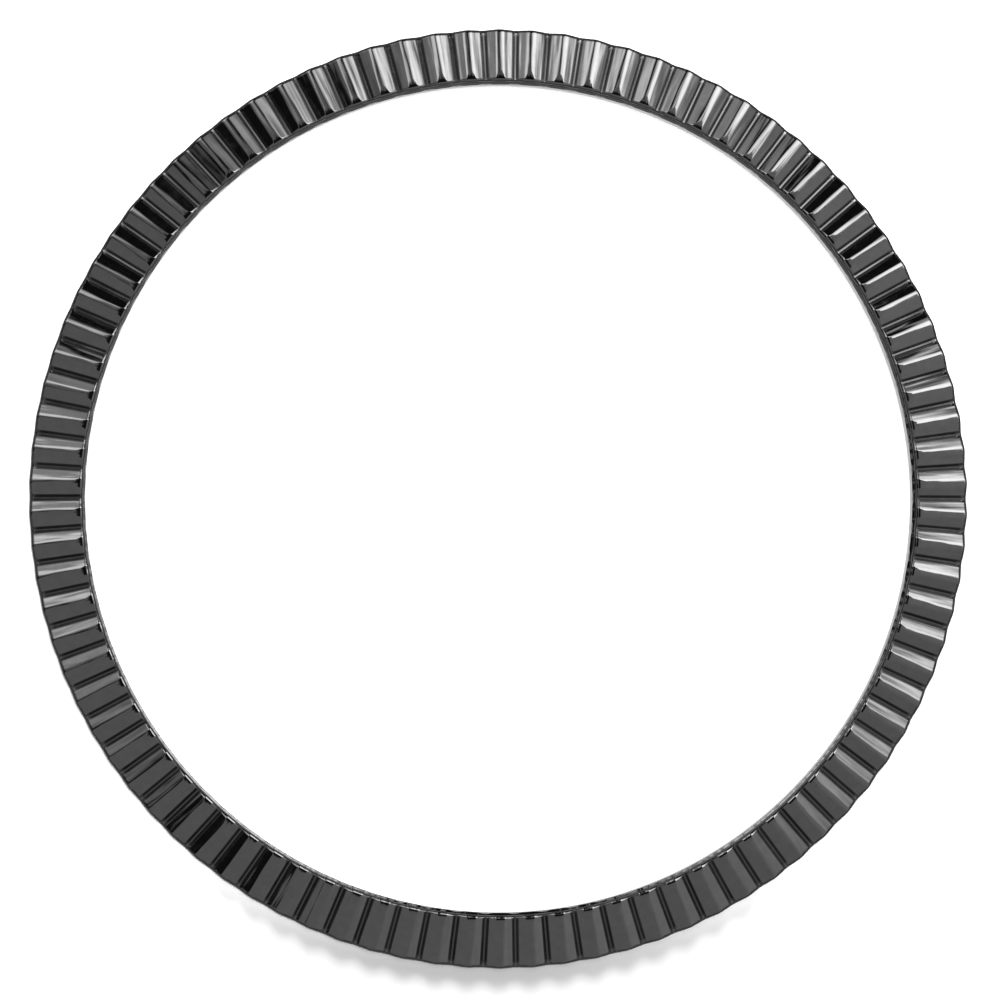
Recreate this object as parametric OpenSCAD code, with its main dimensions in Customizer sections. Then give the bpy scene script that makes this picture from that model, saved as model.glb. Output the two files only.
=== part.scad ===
// Fluted bezel ring for a round smartwatch, with the adhesive tape that holds it on.
// Millimetres. The ring lies flat on the plane z = 0, with its axis on Z and its fluted face up.

/* [Ring] */
// Diameter of the opening that the display shows through
bore_d = 38.4; // [34:0.1:42]
// Width of the fluted band, from its inner wall to the crests' outer ends
band_w = 2.48; // [2.1:0.02:2.8]
// Height of the ring at the top of its crests
ring_h = 1.8; // [1.7:0.05:2.4]
// Fall of the fluted face towards the outside, in degrees
face_slope = 19; // [14:0.5:20]
// Radius that rounds the inner edge of the fluted face
edge_r = 0.22; // [0.1:0.02:0.3]

/* [Lip] */
// Width of the plain lip between the flutes and the opening
lip_w = 0.12; // [0.08:0.01:0.3]
// Height of the lip where it meets the fluted band
lip_h = 1.2; // [0.9:0.05:1.3]
// How far the lip falls towards the opening
lip_fall = 0.08; // [0.02:0.01:0.2]
// Bevel round the lower edge of the opening
foot_bevel = 0.05; // [0.02:0.01:0.1]

/* [Flutes] */
// Number of flutes
flute_n = 90; // [80:1:110]
// Tilt of a flute's two sides from the face, in degrees
flute_tilt = 25; // [20:0.5:27]
// Width of the land that stays on each crest
crest_w = 0.2; // [0.1:0.01:0.3]
// How far the outer wall draws in between two crests
wall_dip = 0.08; // [0.02:0.01:0.12]

/* [Tape] */
// Width of the steel foot inside the tape channel
inner_foot_w = 0.45; // [0.3:0.05:0.6]
// Width of the steel foot outside the tape channel
outer_foot_w = 0.5; // [0.4:0.05:0.7]
// Gap between the tape and each side of its channel
tape_gap = 0.1; // [0.05:0.01:0.2]
// Thickness of each coat of adhesive
adhesive_t = 0.05; // [0.03:0.01:0.08]
// Thickness of the foam strip
foam_t = 0.25; // [0.15:0.05:0.3]
// Thickness of the paper that covers the adhesive until the ring is fitted
liner_t = 0.1; // [0.05:0.01:0.12]

/* [Hidden] */

$fn = 180;
eps = 0.01;
edge_steps = 5;
cut_over = 0.6;

bore_r = bore_d / 2;
pitch_angle = 360 / flute_n;

// The inner wall of the fluted band, its outside, and the centre of the rounding over its top
band_r = bore_r + lip_w;
ring_r = band_r + band_w;
edge_x = band_r + edge_r;
edge_z = ring_h - edge_r;

// Where the rounding meets the sloping face
face_x = edge_x + edge_r * sin(face_slope);
face_z = edge_z + edge_r * cos(face_slope);

// The channel is as deep as the tape and its liner are thick, so both end level with the feet
channel_in_r = bore_r + inner_foot_w;
channel_out_r = ring_r - outer_foot_w;
channel_h = liner_t + 2 * adhesive_t + foam_t;

// Height of the uncut face at a radius
function face_height(r) = face_z - (r - face_x) * tan(face_slope);

// Depth of a flute at a radius, so that the land on the crests keeps its width
function flute_depth(r) = (PI * r / flute_n - crest_w / 2) * tan(flute_tilt) / cos(face_slope);

// The line along the bottom of a flute
valley_in_z = face_height(band_r) - flute_depth(band_r);
valley_out_z = face_height(ring_r) - flute_depth(ring_r);
valley_slope = atan((valley_in_z - valley_out_z) / (ring_r - band_r));
valley_length = (ring_r - band_r) / cos(valley_slope);

// Half of the ring's section: feet, channel, wall, sloping face, rounded inner edge, and lip
module ring_section() {
    outside_x = ring_r + 1;
    polygon(concat(
        [
            [bore_r + foot_bevel, 0],
            [channel_in_r, 0],
            [channel_in_r, channel_h],
            [channel_out_r, channel_h],
            [channel_out_r, 0],
            [outside_x, 0],
            [outside_x, face_height(outside_x)]
        ],
        [for (i = [0 : edge_steps])
            let (a = face_slope - i * (90 + face_slope) / edge_steps)
            [edge_x + edge_r * sin(a), edge_z + edge_r * cos(a)]],
        [
            [band_r, lip_h],
            [bore_r, lip_h - lip_fall],
            [bore_r, foot_bevel]
        ]
    ));
}

// The outer wall seen from above: it draws in a little at every flute
module wall_outline() {
    polygon([for (i = [0 : 2 * flute_n - 1])
        let (r = i % 2 == 0 ? ring_r - wall_dip : ring_r, a = i * pitch_angle / 2)
        [r * cos(a), r * sin(a)]]);
}

// A V that runs out through the inner edge and the outer wall
module flute_cut() {
    cut_h = flute_depth(ring_r) + cut_over / 2;
    half_w = cut_h / tan(flute_tilt);
    translate([band_r, 0, valley_in_z])
        rotate([0, valley_slope, 0])
            translate([-cut_over, 0, 0])
                rotate([90, 0, 90])
                    linear_extrude(valley_length + 2 * cut_over)
                        polygon([[0, 0], [half_w, cut_h], [-half_w, cut_h]]);
}

// A flat band in the channel, from one height to another
module tape_band(low, high) {
    translate([0, 0, low])
        difference() {
            cylinder(h = high - low, r = channel_out_r - tape_gap);
            translate([0, 0, -eps])
                cylinder(h = high - low + 2 * eps, r = channel_in_r + tape_gap);
        }
}

// The polished steel ring: a sloping face cut by V flutes, a plain lip, and a channel underneath
module fluted_ring() {
    color([0.24, 0.24, 0.25])
        difference() {
            intersection() {
                rotate_extrude() ring_section();
                translate([0, 0, -eps]) linear_extrude(ring_h + 2 * eps) wall_outline();
            }
            for (i = [0 : flute_n - 1]) rotate([0, 0, i * pitch_angle]) flute_cut();
        }
}

// The upper coat of adhesive, bonded to the roof of the channel
module adhesive_ring_side() {
    color([0.86, 0.84, 0.76]) tape_band(channel_h - adhesive_t, channel_h);
}

// The foam that takes up the unevenness between the ring and the watch case
module foam_strip() {
    color([0.08, 0.08, 0.08]) tape_band(liner_t + adhesive_t, channel_h - adhesive_t);
}

// The lower coat of adhesive, which bonds to the watch case
module adhesive_watch_side() {
    color([0.86, 0.84, 0.76]) tape_band(liner_t, liner_t + adhesive_t);
}

// The paper that is peeled off before the ring is fitted
module release_liner() {
    color([0.93, 0.9, 0.8]) tape_band(0, liner_t);
}

fluted_ring();
adhesive_ring_side();
foam_strip();
adhesive_watch_side();
release_liner();
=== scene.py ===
from math import acos, atan, atan2, cos, hypot, pi, radians, sin, tan

import bpy
from mathutils import Matrix, Vector


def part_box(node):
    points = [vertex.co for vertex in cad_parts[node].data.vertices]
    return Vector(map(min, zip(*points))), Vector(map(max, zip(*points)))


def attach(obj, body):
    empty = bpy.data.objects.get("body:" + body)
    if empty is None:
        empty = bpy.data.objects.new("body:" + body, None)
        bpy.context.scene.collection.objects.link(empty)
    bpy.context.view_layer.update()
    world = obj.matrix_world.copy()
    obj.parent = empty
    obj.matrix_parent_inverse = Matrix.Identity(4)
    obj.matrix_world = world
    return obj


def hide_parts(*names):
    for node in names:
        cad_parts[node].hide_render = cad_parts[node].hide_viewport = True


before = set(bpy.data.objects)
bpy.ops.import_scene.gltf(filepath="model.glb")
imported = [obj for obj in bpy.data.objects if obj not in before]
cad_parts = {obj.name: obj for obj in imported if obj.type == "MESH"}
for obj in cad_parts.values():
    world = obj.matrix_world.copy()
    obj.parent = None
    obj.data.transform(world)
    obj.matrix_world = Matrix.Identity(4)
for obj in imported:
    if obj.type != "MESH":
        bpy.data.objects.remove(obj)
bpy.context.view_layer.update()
bpy.ops.object.select_all(action="DESELECT")

# The ring: one casting in stainless steel, its face cut all round by a V-shaped wheel, then mirror
# polished, which rounds every crest but doesn't reach into the roots, and plated dark grey.
# It is modelled in millimetres, as half a flute that is mirrored and turned round the axis.
MM = 0.001
ring_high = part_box("fluted_ring")[1]
ring_r = ring_high.y / MM
ring_h = ring_high.z / MM
flute_n = 90
half_pitch = pi / flute_n
half_flute_steps = 2

# the section: a lip, a face that slopes less towards the opening, and a channel for the tape
lip_w = 0.12
lip_h = 1.2
lip_fall = 0.08
band_w = 2.48
face_slope = radians(19)
end_slope = radians(12)
end_w = 0.55
edge_r = 0.17
foot_bevel = 0.05
inner_foot_w = 0.45
outer_foot_w = 0.5
channel_h = 0.45
corner_bevel = 0.025
small_steps = 3
cut_over = 0.5
weld_gap = 0.0005
plane_gap = 1e-5
speck = 0.1

band_r = ring_r - band_w
bore_r = band_r - lip_w
channel_in_r = bore_r + inner_foot_w
channel_out_r = ring_r - outer_foot_w
edge_x = band_r + edge_r
edge_z = ring_h - edge_r
end_x = edge_x + edge_r * sin(end_slope)
end_z = edge_z + edge_r * cos(end_slope)
face_x = band_r + end_w
face_z = end_z - (face_x - end_x) * tan(end_slope)
outside_x = ring_r + cut_over
edge_steps = 12
edge_turn = pi / 2 + end_slope


def face_height(r):
    return face_z - (r - face_x) * tan(face_slope)


def pen_down(name, x, z):
    """A mesh of one point, from which a section is drawn."""
    bpy.ops.mesh.primitive_plane_add(size=speck, location=(x, 0, z))
    obj = bpy.context.object
    obj.name = obj.data.name = name
    bpy.ops.object.transform_apply()
    bpy.ops.object.mode_set(mode="EDIT")
    bpy.ops.mesh.select_mode(type="VERT")
    bpy.ops.mesh.merge(type="CENTER")
    return obj


def pen_line(points):
    """Extrudes the selected point along a line of steps."""
    for (x0, z0), (x1, z1) in zip(points, points[1:]):
        bpy.ops.mesh.extrude_region_move(TRANSFORM_OT_translate={"value": (x1 - x0, 0, z1 - z0)})


def weld(gap):
    """Merges all the vertices that lie within a gap of each other."""
    bpy.ops.mesh.select_all(action="SELECT")
    bpy.ops.mesh.remove_doubles(threshold=gap)


def select_where(obj, kind, test):
    """Selects the vertices or faces whose vertices all pass a test."""
    bpy.ops.mesh.select_all(action="DESELECT")
    bpy.ops.mesh.select_mode(type=kind)
    bpy.ops.object.mode_set(mode="OBJECT")
    mesh = obj.data
    good = [test(v.co) for v in mesh.vertices]
    if kind == "VERT":
        for v in mesh.vertices:
            v.select = good[v.index]
    else:
        for face in mesh.polygons:
            face.select = all(good[i] for i in face.vertices)
    bpy.ops.object.mode_set(mode="EDIT")


# it is drawn from the opening's lower edge outwards and back over the face, and turned by half a flute
foot = (bore_r + foot_bevel, 0)
ring = pen_down("polished_ring", *foot)
pen_line([
    foot, (channel_in_r, 0), (channel_in_r, channel_h), (channel_out_r, channel_h), (channel_out_r, 0),
    (outside_x, 0), (outside_x, face_height(outside_x)), (face_x, face_z), (end_x, end_z),
])
bpy.ops.mesh.spin(steps=edge_steps, angle=edge_turn, center=(edge_x, 0, edge_z), axis=(0, 1, 0))
pen_line([(band_r, edge_z), (band_r, lip_h), (bore_r, lip_h - lip_fall), (bore_r, foot_bevel), foot])
weld(weld_gap)
corners = [
    (channel_in_r, 0), (channel_in_r, channel_h), (channel_out_r, channel_h), (channel_out_r, 0),
    (band_r, lip_h), (bore_r, lip_h - lip_fall), (bore_r, foot_bevel), foot,
]
select_where(ring, "VERT", lambda co: any(hypot(co.x - x, co.z - z) < weld_gap for x, z in corners))
bpy.ops.mesh.bevel(offset=corner_bevel, segments=small_steps, affect="VERTICES")
bpy.ops.mesh.select_all(action="SELECT")
bpy.ops.mesh.edge_face_add()
bpy.ops.mesh.select_all(action="SELECT")
bpy.ops.mesh.spin(steps=half_flute_steps, angle=half_pitch, center=(0, 0, 0), axis=(0, 0, -1))
bpy.ops.mesh.select_all(action="SELECT")
bpy.ops.mesh.normals_make_consistent(inside=False)

# the flat side that the wheel cuts, and the steeper side of its root
flute_tilt = radians(28)
root_tilt = radians(40)
root_drop = 0.055
crest_w = 0.24
bend_reach = 0.04


def flute_depth(r):
    return (half_pitch * r - crest_w / 2) * tan(flute_tilt) / cos(face_slope)


def cut(point, normal):
    """Cuts the whole mesh with a plane, removes what lies beyond it and closes the cut."""
    bpy.ops.mesh.select_all(action="SELECT")
    bpy.ops.mesh.bisect(
        plane_co=point, plane_no=normal, use_fill=True, clear_outer=True, threshold=plane_gap)


def round_off(point, one, other, reach, steps):
    """Rounds the edge between two faces at a point, by cuts that touch an arc which starts a reach away."""
    half = one.angle(other) / 2
    middle = (one + other).normalized()
    radius = reach / tan(half)
    for i in range(1, steps):
        normal = one.slerp(other, i / steps)
        depth = radius * (normal.dot(middle) / cos(half) - 1)
        cut(point - normal * depth, normal)


valley_in_z = face_height(band_r) - flute_depth(band_r)
valley_out_z = face_height(ring_r) - flute_depth(ring_r)
valley_slope = atan((valley_in_z - valley_out_z) / band_w)
valley = Vector((band_r, 0, valley_in_z))
valley_up = Vector((sin(valley_slope), 0, cos(valley_slope)))
root = valley - Vector((0, 0, root_drop))
side = valley_up * cos(flute_tilt) - Vector((0, sin(flute_tilt), 0))
root_side = valley_up * cos(root_tilt) - Vector((0, sin(root_tilt), 0))
cut(valley, side)
cut(root, root_side)
bend_y = root_drop * cos(valley_slope) / (tan(root_tilt) - tan(flute_tilt))
bend = valley + (valley_up * tan(flute_tilt) + Vector((0, 1, 0))) * bend_y
round_off(bend, side, root_side, bend_reach, small_steps)

# the outer wall, which draws in towards the valley
wall_dip = 0.036
wall_reach = 0.18
wall_end = Vector((ring_r * cos(half_pitch), ring_r * sin(half_pitch), 0))
wall = Vector((wall_end.y, ring_r - wall_dip - wall_end.x, 0)).normalized()
next_wall = wall.reflect(Vector((-sin(half_pitch), cos(half_pitch), 0)))
cut(wall_end, wall)
round_off(wall_end, wall, next_wall, wall_reach, small_steps)


def sloping(slope, turn):
    """The normal of a face that falls outwards by a slope, at a turn round the axis."""
    return Vector((sin(slope) * cos(turn), sin(slope) * sin(turn), cos(slope)))


def on_crest(r):
    """The point at a radius on the line over the crest, at the height of the face before it is cut."""
    return Vector((r * cos(half_pitch), r * sin(half_pitch), face_height(r)))


def side_edge(top, crest):
    """Where a top face, given by its normal, meets the flute's side, beside a point on the crest."""
    planes = Matrix((top, side, (1, 0, 0)))
    return planes.inverted() @ Vector((top.dot(crest), side.dot(valley), crest.x))


# polishing rounds the whole crest, and the edges of the flatter, wider top at its inner end
end_ball = 0.15
crest_steps = 6
face = sloping(face_slope, half_pitch)
crest = on_crest(edge_x)
crest_edge = side_edge(face, crest)
round_off(crest_edge, face, side, (crest_edge - crest).length, crest_steps)
end_face = sloping(end_slope, half_pitch)
end_edge = side_edge(end_face, on_crest(face_x))
round_off(end_edge, end_face, side, end_ball * tan(end_face.angle(side) / 2), crest_steps)

# it also rounds the edge at the flute's inner end, to the shape that a ball leaves as it rolls along it
fall_steps = 4
fall_step = 0.03
ball_steps = 7


def ball_turn(normal, point, r, z):
    """How far round the axis a ball's centre lies when the ball touches a side from within."""
    rest = normal.dot(point) - end_ball - normal.z * z
    return atan2(normal.y, normal.x) + acos(min(1, rest / (hypot(normal.x, normal.y) * r)))


for i in range(edge_steps + fall_steps):
    slope = end_slope - min(i, edge_steps) * edge_turn / edge_steps
    r = edge_x + (edge_r - end_ball) * sin(slope)
    z = edge_z + (edge_r - end_ball) * cos(slope) - max(0, i - edge_steps) * fall_step
    turns = [(ball_turn(side, valley, r, z), side), (ball_turn(root_side, root, r, z), root_side)]
    turn, touched = max(turns, key=lambda pair: pair[0])
    if turn > 0:
        centre = Vector((r * cos(turn), r * sin(turn), z))
        out = sloping(slope, turn)
        for step in range(1, ball_steps):
            normal = out.slerp(touched, step / ball_steps)
            cut(centre + normal * end_ball, normal)

# the tip of the wheel leaves a narrow flat along the root
tip_w = 0.09
near = 1e-4
select_where(ring, "FACE", lambda co: abs((co - root).dot(root_side)) < near)
bpy.ops.mesh.bisect(plane_co=(0, tip_w / 2, 0), plane_no=(0, 1, 0), threshold=plane_gap)
select_where(ring, "VERT", lambda co: abs(co.y) < near and abs((co - root).dot(root_side)) < near)
bpy.ops.transform.translate(value=(0, 0, tip_w / 2 * tan(root_tilt) / cos(valley_slope)))

# the other half of the flute
same_turn = 1e-6
for end in (0, half_pitch):
    select_where(ring, "FACE", lambda co: abs(atan2(co.y, co.x) - end) < same_turn)
    bpy.ops.mesh.delete(type="ONLY_FACE")
bpy.ops.mesh.select_mode(type="VERT")
bpy.ops.mesh.select_all(action="SELECT")
bpy.ops.mesh.duplicate()
bpy.ops.transform.resize(value=(1, -1, 1), center_override=(0, 0, 0))
bpy.ops.mesh.flip_normals()
weld(near)

# all the flutes, and the rounding round the outer ends of the flutes and round the foot
rim_bevel = 0.16
rim_steps = 5
rim_low = 0.5
outer_foot_bevel = 0.06
wall_foot = 0.1
upright = 0.01
sliver = 0.003
smooth_turn = radians(30)
bpy.ops.mesh.select_all(action="SELECT")
bpy.ops.mesh.spin(
    steps=flute_n - 1, dupli=True, angle=2 * pi * (flute_n - 1) / flute_n, center=(0, 0, 0), axis=(0, 0, 1),
)
weld(near)
bpy.ops.mesh.normals_make_consistent(inside=False)


def select_wall_end(above, below):
    """Selects the edges round one end of the outer wall, between two heights."""
    bpy.ops.object.mode_set(mode="OBJECT")
    mesh = ring.data
    on_wall = {}
    for face in mesh.polygons:
        if abs(face.normal.z) < upright and hypot(face.center.x, face.center.y) > ring_r - 2 * wall_dip:
            for key in face.edge_keys:
                on_wall[key] = on_wall.get(key, 0) + 1
    bpy.ops.object.mode_set(mode="EDIT")
    bpy.ops.mesh.select_all(action="DESELECT")
    bpy.ops.mesh.select_mode(type="EDGE")
    bpy.ops.object.mode_set(mode="OBJECT")
    for edge in mesh.edges:
        height = sum(mesh.vertices[i].co.z for i in edge.vertices) / 2
        edge.select = on_wall.get(edge.key) == 1 and above < height < below
    bpy.ops.object.mode_set(mode="EDIT")


select_wall_end(rim_low, ring_h)
bpy.ops.mesh.bevel(offset=rim_bevel, segments=rim_steps, affect="EDGES", clamp_overlap=False)
select_wall_end(-wall_foot, wall_foot)
bpy.ops.mesh.bevel(offset=outer_foot_bevel, segments=small_steps, affect="EDGES", clamp_overlap=False)
weld(sliver)
bpy.ops.object.mode_set(mode="OBJECT")
bpy.ops.object.shade_smooth_by_angle(angle=smooth_turn)

# the flat sides stay flat to the eye right up to their rounded edges
flats = ring.modifiers.new("flats", "WEIGHTED_NORMAL")
flats.keep_sharp = True
bpy.ops.object.modifier_apply(modifier=flats.name)
ring.scale = (MM, MM, MM)
bpy.ops.object.transform_apply(location=False, rotation=False, scale=True)


def maths(tree, operation, one, other=None):
    """A maths node with its inputs joined or set; returns its output."""
    node = tree.nodes.new("ShaderNodeMath")
    node.operation = operation
    for socket, value in zip(node.inputs, (one, other)):
        if isinstance(value, bpy.types.NodeSocket):
            tree.links.new(value, socket)
        elif value is not None:
            socket.default_value = value
    return node.outputs["Value"]


def map_range(tree, value, low, high, new_low, new_high):
    """Maps a value from one range to another and keeps it inside; returns the output."""
    node = tree.nodes.new("ShaderNodeMapRange")
    tree.links.new(value, node.inputs["Value"])
    for name, number in (("From Min", low), ("From Max", high), ("To Min", new_low), ("To Max", new_high)):
        node.inputs[name].default_value = number
    return node.outputs["Result"]


def noise(tree, where, scale, detail):
    """A noise over the places that a vector gives; returns its output."""
    node = tree.nodes.new("ShaderNodeTexNoise")
    node.inputs["Scale"].default_value = scale
    node.inputs["Detail"].default_value = detail
    tree.links.new(where, node.inputs["Vector"])
    return node.outputs[0]


def relief(tree, height, distance):
    """Raises the shader's surface by a height, as seen in its reflections."""
    node = tree.nodes.new("ShaderNodeBump")
    node.inputs["Distance"].default_value = distance
    tree.links.new(height, node.inputs["Height"])
    tree.links.new(node.outputs["Normal"], tree.nodes["Principled BSDF"].inputs["Normal"])


# mirror-polished metal with the faint streaks that the buffing wheel leaves along the flutes
streak_depth = 0.034 * MM
steel = bpy.data.materials.new("dark_polished_steel")
steel.use_nodes = True
tree = steel.node_tree
shader = tree.nodes["Principled BSDF"]
shader.inputs["Metallic"].default_value = 1
where = tree.nodes.new("ShaderNodeTexCoord").outputs["Object"]
split = tree.nodes.new("ShaderNodeSeparateXYZ")
tree.links.new(where, split.inputs["Vector"])
x, y, z = (split.outputs[axis] for axis in "XYZ")
squares = maths(tree, "ADD", maths(tree, "MULTIPLY", x, x), maths(tree, "MULTIPLY", y, y))
radius = maths(tree, "SQRT", squares)
around = maths(tree, "ARCTAN2", y, x)
mid_r = (band_r + band_w / 2) * MM
height = 0
for long, wide, share in ((2.2 * MM, 0.3 * MM, 1), (0.8 * MM, 0.1 * MM, 0.12)):
    polar = tree.nodes.new("ShaderNodeCombineXYZ")
    tree.links.new(maths(tree, "MULTIPLY", radius, 1 / long), polar.inputs["X"])
    tree.links.new(maths(tree, "MULTIPLY", around, mid_r / wide), polar.inputs["Y"])
    streaks = noise(tree, polar.outputs["Vector"], scale=1, detail=0)
    height = maths(tree, "ADD", height, maths(tree, "MULTIPLY", streaks, share))
relief(tree, height, streak_depth)

# the polish by place, from 0 to 1: full on the flute's sides, some on the narrow flat of its root, none
# beside that, where the wheel doesn't reach, and full again at the flute's two ends and low on the ring;
# the same mask also sets a painted shade that darkens the colour in and beside the roots
tip_polish_and_shade = 0.5
off_root = maths(tree, "MULTIPLY", radius, maths(tree, "PINGPONG", around, half_pitch))
polish_and_shade = 0
for value, start, end, start_polish_and_shade, end_polish_and_shade in (
    (off_root, 0.13, 0.18, 0, 1),
    (off_root, 0.02, 0.05, tip_polish_and_shade, 0),
    (radius, band_r + 0.05, band_r + 0.2, 1, 0),
    (radius, ring_r - 0.35, ring_r - 0.2, 0, 1),
    (z, channel_h + 0.05, channel_h + 0.07, 1, 0),
):
    part = map_range(tree, value, start * MM, end * MM, start_polish_and_shade, end_polish_and_shade)
    polish_and_shade = maths(tree, "MAXIMUM", polish_and_shade, part)

# fine mottling of the plating, the dull roots, and painted shade that darkens the roots' colour
noise_low = 0.3
noise_high = 0.7
dull_roughness = 0.3
root_painted_shade = 0.3
mottle = noise(tree, where, scale=2500, detail=3)
shine = map_range(tree, mottle, low=0.35, high=0.65, new_low=0.06, new_high=0.12)
dullness = map_range(tree, polish_and_shade, 0, 1, dull_roughness, 0)
tree.links.new(maths(tree, "ADD", shine, dullness), shader.inputs["Roughness"])
grey = map_range(tree, mottle, noise_low, noise_high, new_low=0.33, new_high=0.37)
# painted shade: the base colour is darkened where the polish is less, in and beside the roots
painted_root_shade = map_range(tree, polish_and_shade, 0, 1, root_painted_shade, 1)
tree.links.new(maths(tree, "MULTIPLY", grey, painted_root_shade), shader.inputs["Base Color"])
ring.data.materials.append(steel)
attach(ring, "ring")
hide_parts("fluted_ring")

# The adhesive on the ring's side: a thin coat of clear acrylic, pressed on the roof of the channel.
# It is drawn as a flat section with rounded corners and turned right round.
tape_gap = 0.1
tape_steps = 180
tape_corner_steps = 2
tape_smooth_turn = radians(50)
adhesive_corner = 0.015
adhesive_dark = (0.80, 0.77, 0.66, 1)
adhesive_light = (0.88, 0.86, 0.78, 1)
tape_in_r = channel_in_r + tape_gap


def tape_band(name, node, corner):
    """A flat band in the channel, at the heights and outer radius of its CAD node."""
    low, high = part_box(node)
    low_z, high_z, out_r = low.z / MM, high.z / MM, high.x / MM
    band = pen_down(name, tape_in_r, low_z)
    pen_line([
        (tape_in_r, low_z), (out_r, low_z), (out_r, high_z), (tape_in_r, high_z), (tape_in_r, low_z),
    ])
    weld(weld_gap)
    bpy.ops.mesh.bevel(offset=corner, segments=tape_corner_steps, affect="VERTICES")
    bpy.ops.mesh.select_all(action="SELECT")
    bpy.ops.mesh.spin(steps=tape_steps, angle=2 * pi, center=(0, 0, 0), axis=(0, 0, 1))
    weld(weld_gap)
    bpy.ops.mesh.normals_make_consistent(inside=False)
    bpy.ops.object.mode_set(mode="OBJECT")
    band.scale = (MM, MM, MM)
    bpy.ops.object.transform_apply(location=False, rotation=False, scale=True)
    bpy.ops.object.shade_smooth_by_angle(angle=tape_smooth_turn)
    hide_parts(node)
    return band


def grain(name, dark, light, scale, smooth, rough, depth):
    """A material whose colour, roughness and surface vary with one noise of a set grain."""
    material = bpy.data.materials.new(name)
    material.use_nodes = True
    tree = material.node_tree
    shader = tree.nodes["Principled BSDF"]
    where = tree.nodes.new("ShaderNodeTexCoord").outputs["Object"]
    factor = noise(tree, where, scale, detail=4)
    tone = tree.nodes.new("ShaderNodeMix")
    tone.data_type = "RGBA"
    tree.links.new(map_range(tree, factor, noise_low, noise_high, 0, 1), tone.inputs["Factor"])
    tone.inputs[6].default_value = dark
    tone.inputs[7].default_value = light
    tree.links.new(tone.outputs[2], shader.inputs["Base Color"])
    roughness = map_range(tree, factor, noise_low, noise_high, smooth, rough)
    tree.links.new(roughness, shader.inputs["Roughness"])
    relief(tree, factor, depth)
    return material


adhesive = grain(
    "adhesive", adhesive_dark, adhesive_light, scale=1500, smooth=0.12, rough=0.3, depth=0.01 * MM)
upper_adhesive = tape_band("upper_adhesive", "adhesive_ring_side", adhesive_corner)
upper_adhesive.data.materials.append(adhesive)
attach(upper_adhesive, "ring")

# The foam: a strip of black closed-cell foam, die-cut with the tape, that takes up unevenness.
# It lies between the two coats of adhesive, and its cut faces show the cells.
foam_dark = (0.02, 0.02, 0.02, 1)
foam_light = (0.06, 0.06, 0.06, 1)
foam = tape_band("tape_foam", "foam_strip", corner=0.02)
foam.data.materials.append(grain(
    "foam", foam_dark, foam_light, scale=9000, smooth=0.75, rough=0.95, depth=0.03 * MM))
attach(foam, "ring")

# The adhesive on the watch's side: a thin coat of the same clear acrylic under the foam.
# It lies bare once the liner is peeled off, and is pressed down on the watch.
lower_adhesive = tape_band("lower_adhesive", "adhesive_watch_side", adhesive_corner)
lower_adhesive.data.materials.append(adhesive)
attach(lower_adhesive, "ring")

# The release liner: a die-cut ring of coated paper, held only by the adhesive that it covers.
# It stays on the bench when the ring is lifted off it to be fitted.
paper_dark = (0.87, 0.84, 0.73, 1)
paper_light = (0.94, 0.91, 0.82, 1)
liner = tape_band("paper_liner", "release_liner", corner=0.02)
liner.data.materials.append(grain(
    "liner_paper", paper_dark, paper_light, scale=4000, smooth=0.35, rough=0.5, depth=0.005 * MM))
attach(liner, "liner")

# The table: a plain white board under the ring, lit by a soft light from the far side, which leaves
# a soft shadow on the near side, by a soft light from above, and by a spot that whitens the board
# inside and beside the ring. The metal doesn't mirror it.
table_size = 6
table_white = (0.9, 0.9, 0.9, 1)
table_roughness = 0.9
bpy.ops.mesh.primitive_plane_add(size=table_size)
floor = bpy.context.object
floor.name = "table"
paint = bpy.data.materials.new("white_table")
paint.use_nodes = True
paint_shader = paint.node_tree.nodes["Principled BSDF"]
paint_shader.inputs["Base Color"].default_value = table_white
paint_shader.inputs["Roughness"].default_value = table_roughness
floor.data.materials.append(paint)
floor.visible_glossy = False

key_elevation = 38
overhead = 90
key_radiance = 14
fill_radiance = 6
disk_size = 0.5
disk_area = pi * disk_size ** 2 / 4
disk_distance = 0.9
spot_height = 0.6
spot_r = 34 * MM
spot_y = 12 * MM
spot_power = 10


def toward(azimuth, elevation):
    """A direction from the ring: azimuth clockwise from +Y, seen from above, and elevation, in degrees."""
    a, e = radians(azimuth), radians(elevation)
    return Vector((sin(a) * cos(e), cos(a) * cos(e), sin(e)))


def lamp(name, kind, elevation, distance, power):
    """A lamp on the far side or above that lights the table and isn't mirrored."""
    obj = bpy.data.objects.new(name, bpy.data.lights.new(name, kind))
    bpy.context.scene.collection.objects.link(obj)
    obj.data.energy = power
    obj.location = toward(0, elevation) * distance
    obj.rotation_euler = (-obj.location).to_track_quat("-Z", "Y").to_euler()
    obj.visible_glossy = False
    obj.visible_camera = False
    return obj


key = lamp("key_light", "AREA", key_elevation, disk_distance, key_radiance * pi * disk_area)
fill = lamp("fill_light", "AREA", overhead, disk_distance, fill_radiance * pi * disk_area)
for disk in (key, fill):
    disk.data.shape = "DISK"
    disk.data.size = disk_size
spot = lamp("table_spot", "SPOT", overhead, spot_height, spot_power)
spot.location.y = spot_y
spot.data.spot_size = 2 * atan(spot_r / spot_height)
spot.data.spot_blend = 0.1
spot.data.shadow_soft_size = 1 * MM

# The room that the polished metal mirrors: two softboxes on the far side, a dark board between them
# and one on the left, grey walls that are lighter on the right, a dark ceiling, and a dim light
# from below.
dark_radiance = 0.01
wall_radiance = 0.2
right_wall_radiance = 0.1
below_radiance = 0.12
under_radiance = 0.6
board_low = 20
board_high = 50
world = bpy.data.worlds.new("studio")
world.use_nodes = True
bpy.context.scene.world = world
tree = world.node_tree
sky = tree.nodes.new("ShaderNodeTexCoord").outputs["Generated"]


def combine(operation, *values):
    """Adds or multiplies values one after the other."""
    total = values[0]
    for value in values[1:]:
        total = maths(tree, operation, total, value)
    return total


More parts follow.
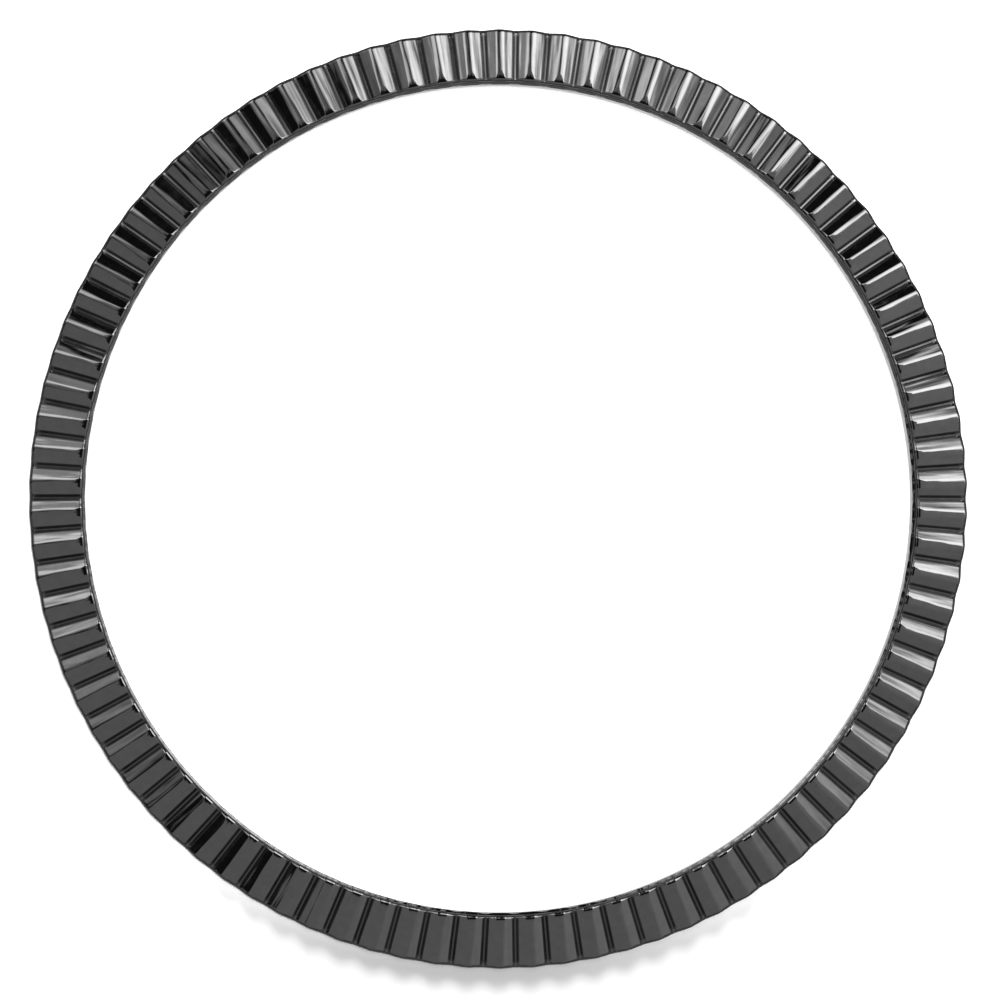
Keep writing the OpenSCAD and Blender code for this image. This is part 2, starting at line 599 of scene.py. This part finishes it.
def facing(direction):
    """The cosine between the looked-at direction and a given one."""
    node = tree.nodes.new("ShaderNodeVectorMath")
    node.operation = "DOT_PRODUCT"
    tree.links.new(sky, node.inputs[0])
    node.inputs[1].default_value = direction
    return node.outputs["Value"]


def fade(value, start, end):
    """Runs smoothly from 0 at one value to 1 at another."""
    output = map_range(tree, value, start, end, 0, 1)
    output.node.interpolation_type = "SMOOTHSTEP"
    return output


def glow(direction, edge, full, radiance):
    """A soft patch of light: its radiance within one angle of its middle, and nothing past its edge."""
    patch = fade(facing(direction), cos(radians(edge)), cos(radians(full)))
    return maths(tree, "MULTIPLY", patch, radiance)


def rise(direction, start, full):
    """1 where the looked-at direction rises an angle or more towards a given one, 0 below a lesser angle."""
    return fade(facing(direction), sin(radians(start)), sin(radians(full)))


def beyond(one, other, start=-2, full=2):
    """1 on the clockwise side of the straight edge that rises through two directions, and 0 past it."""
    return rise(one.cross(other).normalized(), start, full)


def board(low, high):
    """0 on a dark upright board, given its two edges' azimuths at a low and at a high elevation."""
    edges = zip(low, high)
    inside, past = (beyond(toward(bottom, board_low), toward(top, board_high)) for bottom, top in edges)
    return maths(tree, "SUBTRACT", 1, maths(tree, "MULTIPLY", inside, maths(tree, "SUBTRACT", 1, past)))


right_box = combine(
    "MULTIPLY",
    combine(
        "ADD",
        glow(toward(41, 44.7), edge=38.5, full=3, radiance=1.75),
        glow(toward(59, 35), edge=32, full=3, radiance=0.64),
    ),
    beyond(toward(15, board_low), toward(-3.5, board_high), start=-8, full=17.5),
    beyond(toward(37, board_high), toward(73.4, 38), start=-2.1, full=2.1),
)
left_box = combine(
    "MULTIPLY",
    combine(
        "ADD",
        glow(toward(321.3, 35.6), edge=18.5, full=3, radiance=1.15),
        glow(toward(322.9, 15), edge=34, full=3, radiance=0.34),
    ),
    beyond(toward(348.3, board_high), toward(353.4, board_low), start=-8, full=0.8),
)
right_wall = maths(tree, "MULTIPLY", fade(facing(toward(80, 0)), start=0.2, end=0.9), right_wall_radiance)
ceiling = fade(facing(toward(0, 87)), start=cos(radians(26)), end=cos(radians(30)))
lit = combine(
    "MULTIPLY",
    combine("ADD", right_wall, wall_radiance, right_box, left_box),
    board(low=(348.3, 15), high=(348.3, -3.5)),
    board(low=(262, 285), high=(283, 291)),
    ceiling,
    rise((0, 0, 1), start=-4, full=10),
)
below = maths(tree, "MULTIPLY", rise((0, 0, -1), start=-5, full=20), below_radiance)
under = glow(Vector((0, 0, -1)), edge=25, full=10, radiance=under_radiance)
background = tree.nodes["Background"]
background.inputs["Color"].default_value = (1, 1, 1, 1)
tree.links.new(combine("ADD", lit, dark_radiance, below, under), background.inputs["Strength"])
bpy.context.scene.view_settings.view_transform = "Standard"

# The camera: a long lens almost straight above, a little to the left and to the near side.
# The far side of the ring is at the top of the picture.
camera_height = 0.4
camera_lean = Vector((-0.0567, -0.0203, 1))
width_seen = 46.37 * MM
aim = Vector((0.01, -0.077, 1.0)) * MM
camera = bpy.data.objects.new("camera", bpy.data.cameras.new("camera"))
bpy.context.scene.collection.objects.link(camera)
camera.location = camera_lean * camera_height
back = (camera.location - aim).normalized()
across = Vector((0, 1, 0)).cross(back).normalized()
camera.rotation_euler = Matrix((across, back.cross(across), back)).transposed().to_euler()
camera.data.sensor_width = 36
camera.data.lens = camera.data.sensor_width * (camera.location - aim).length / width_seen
bpy.context.scene.camera = camera
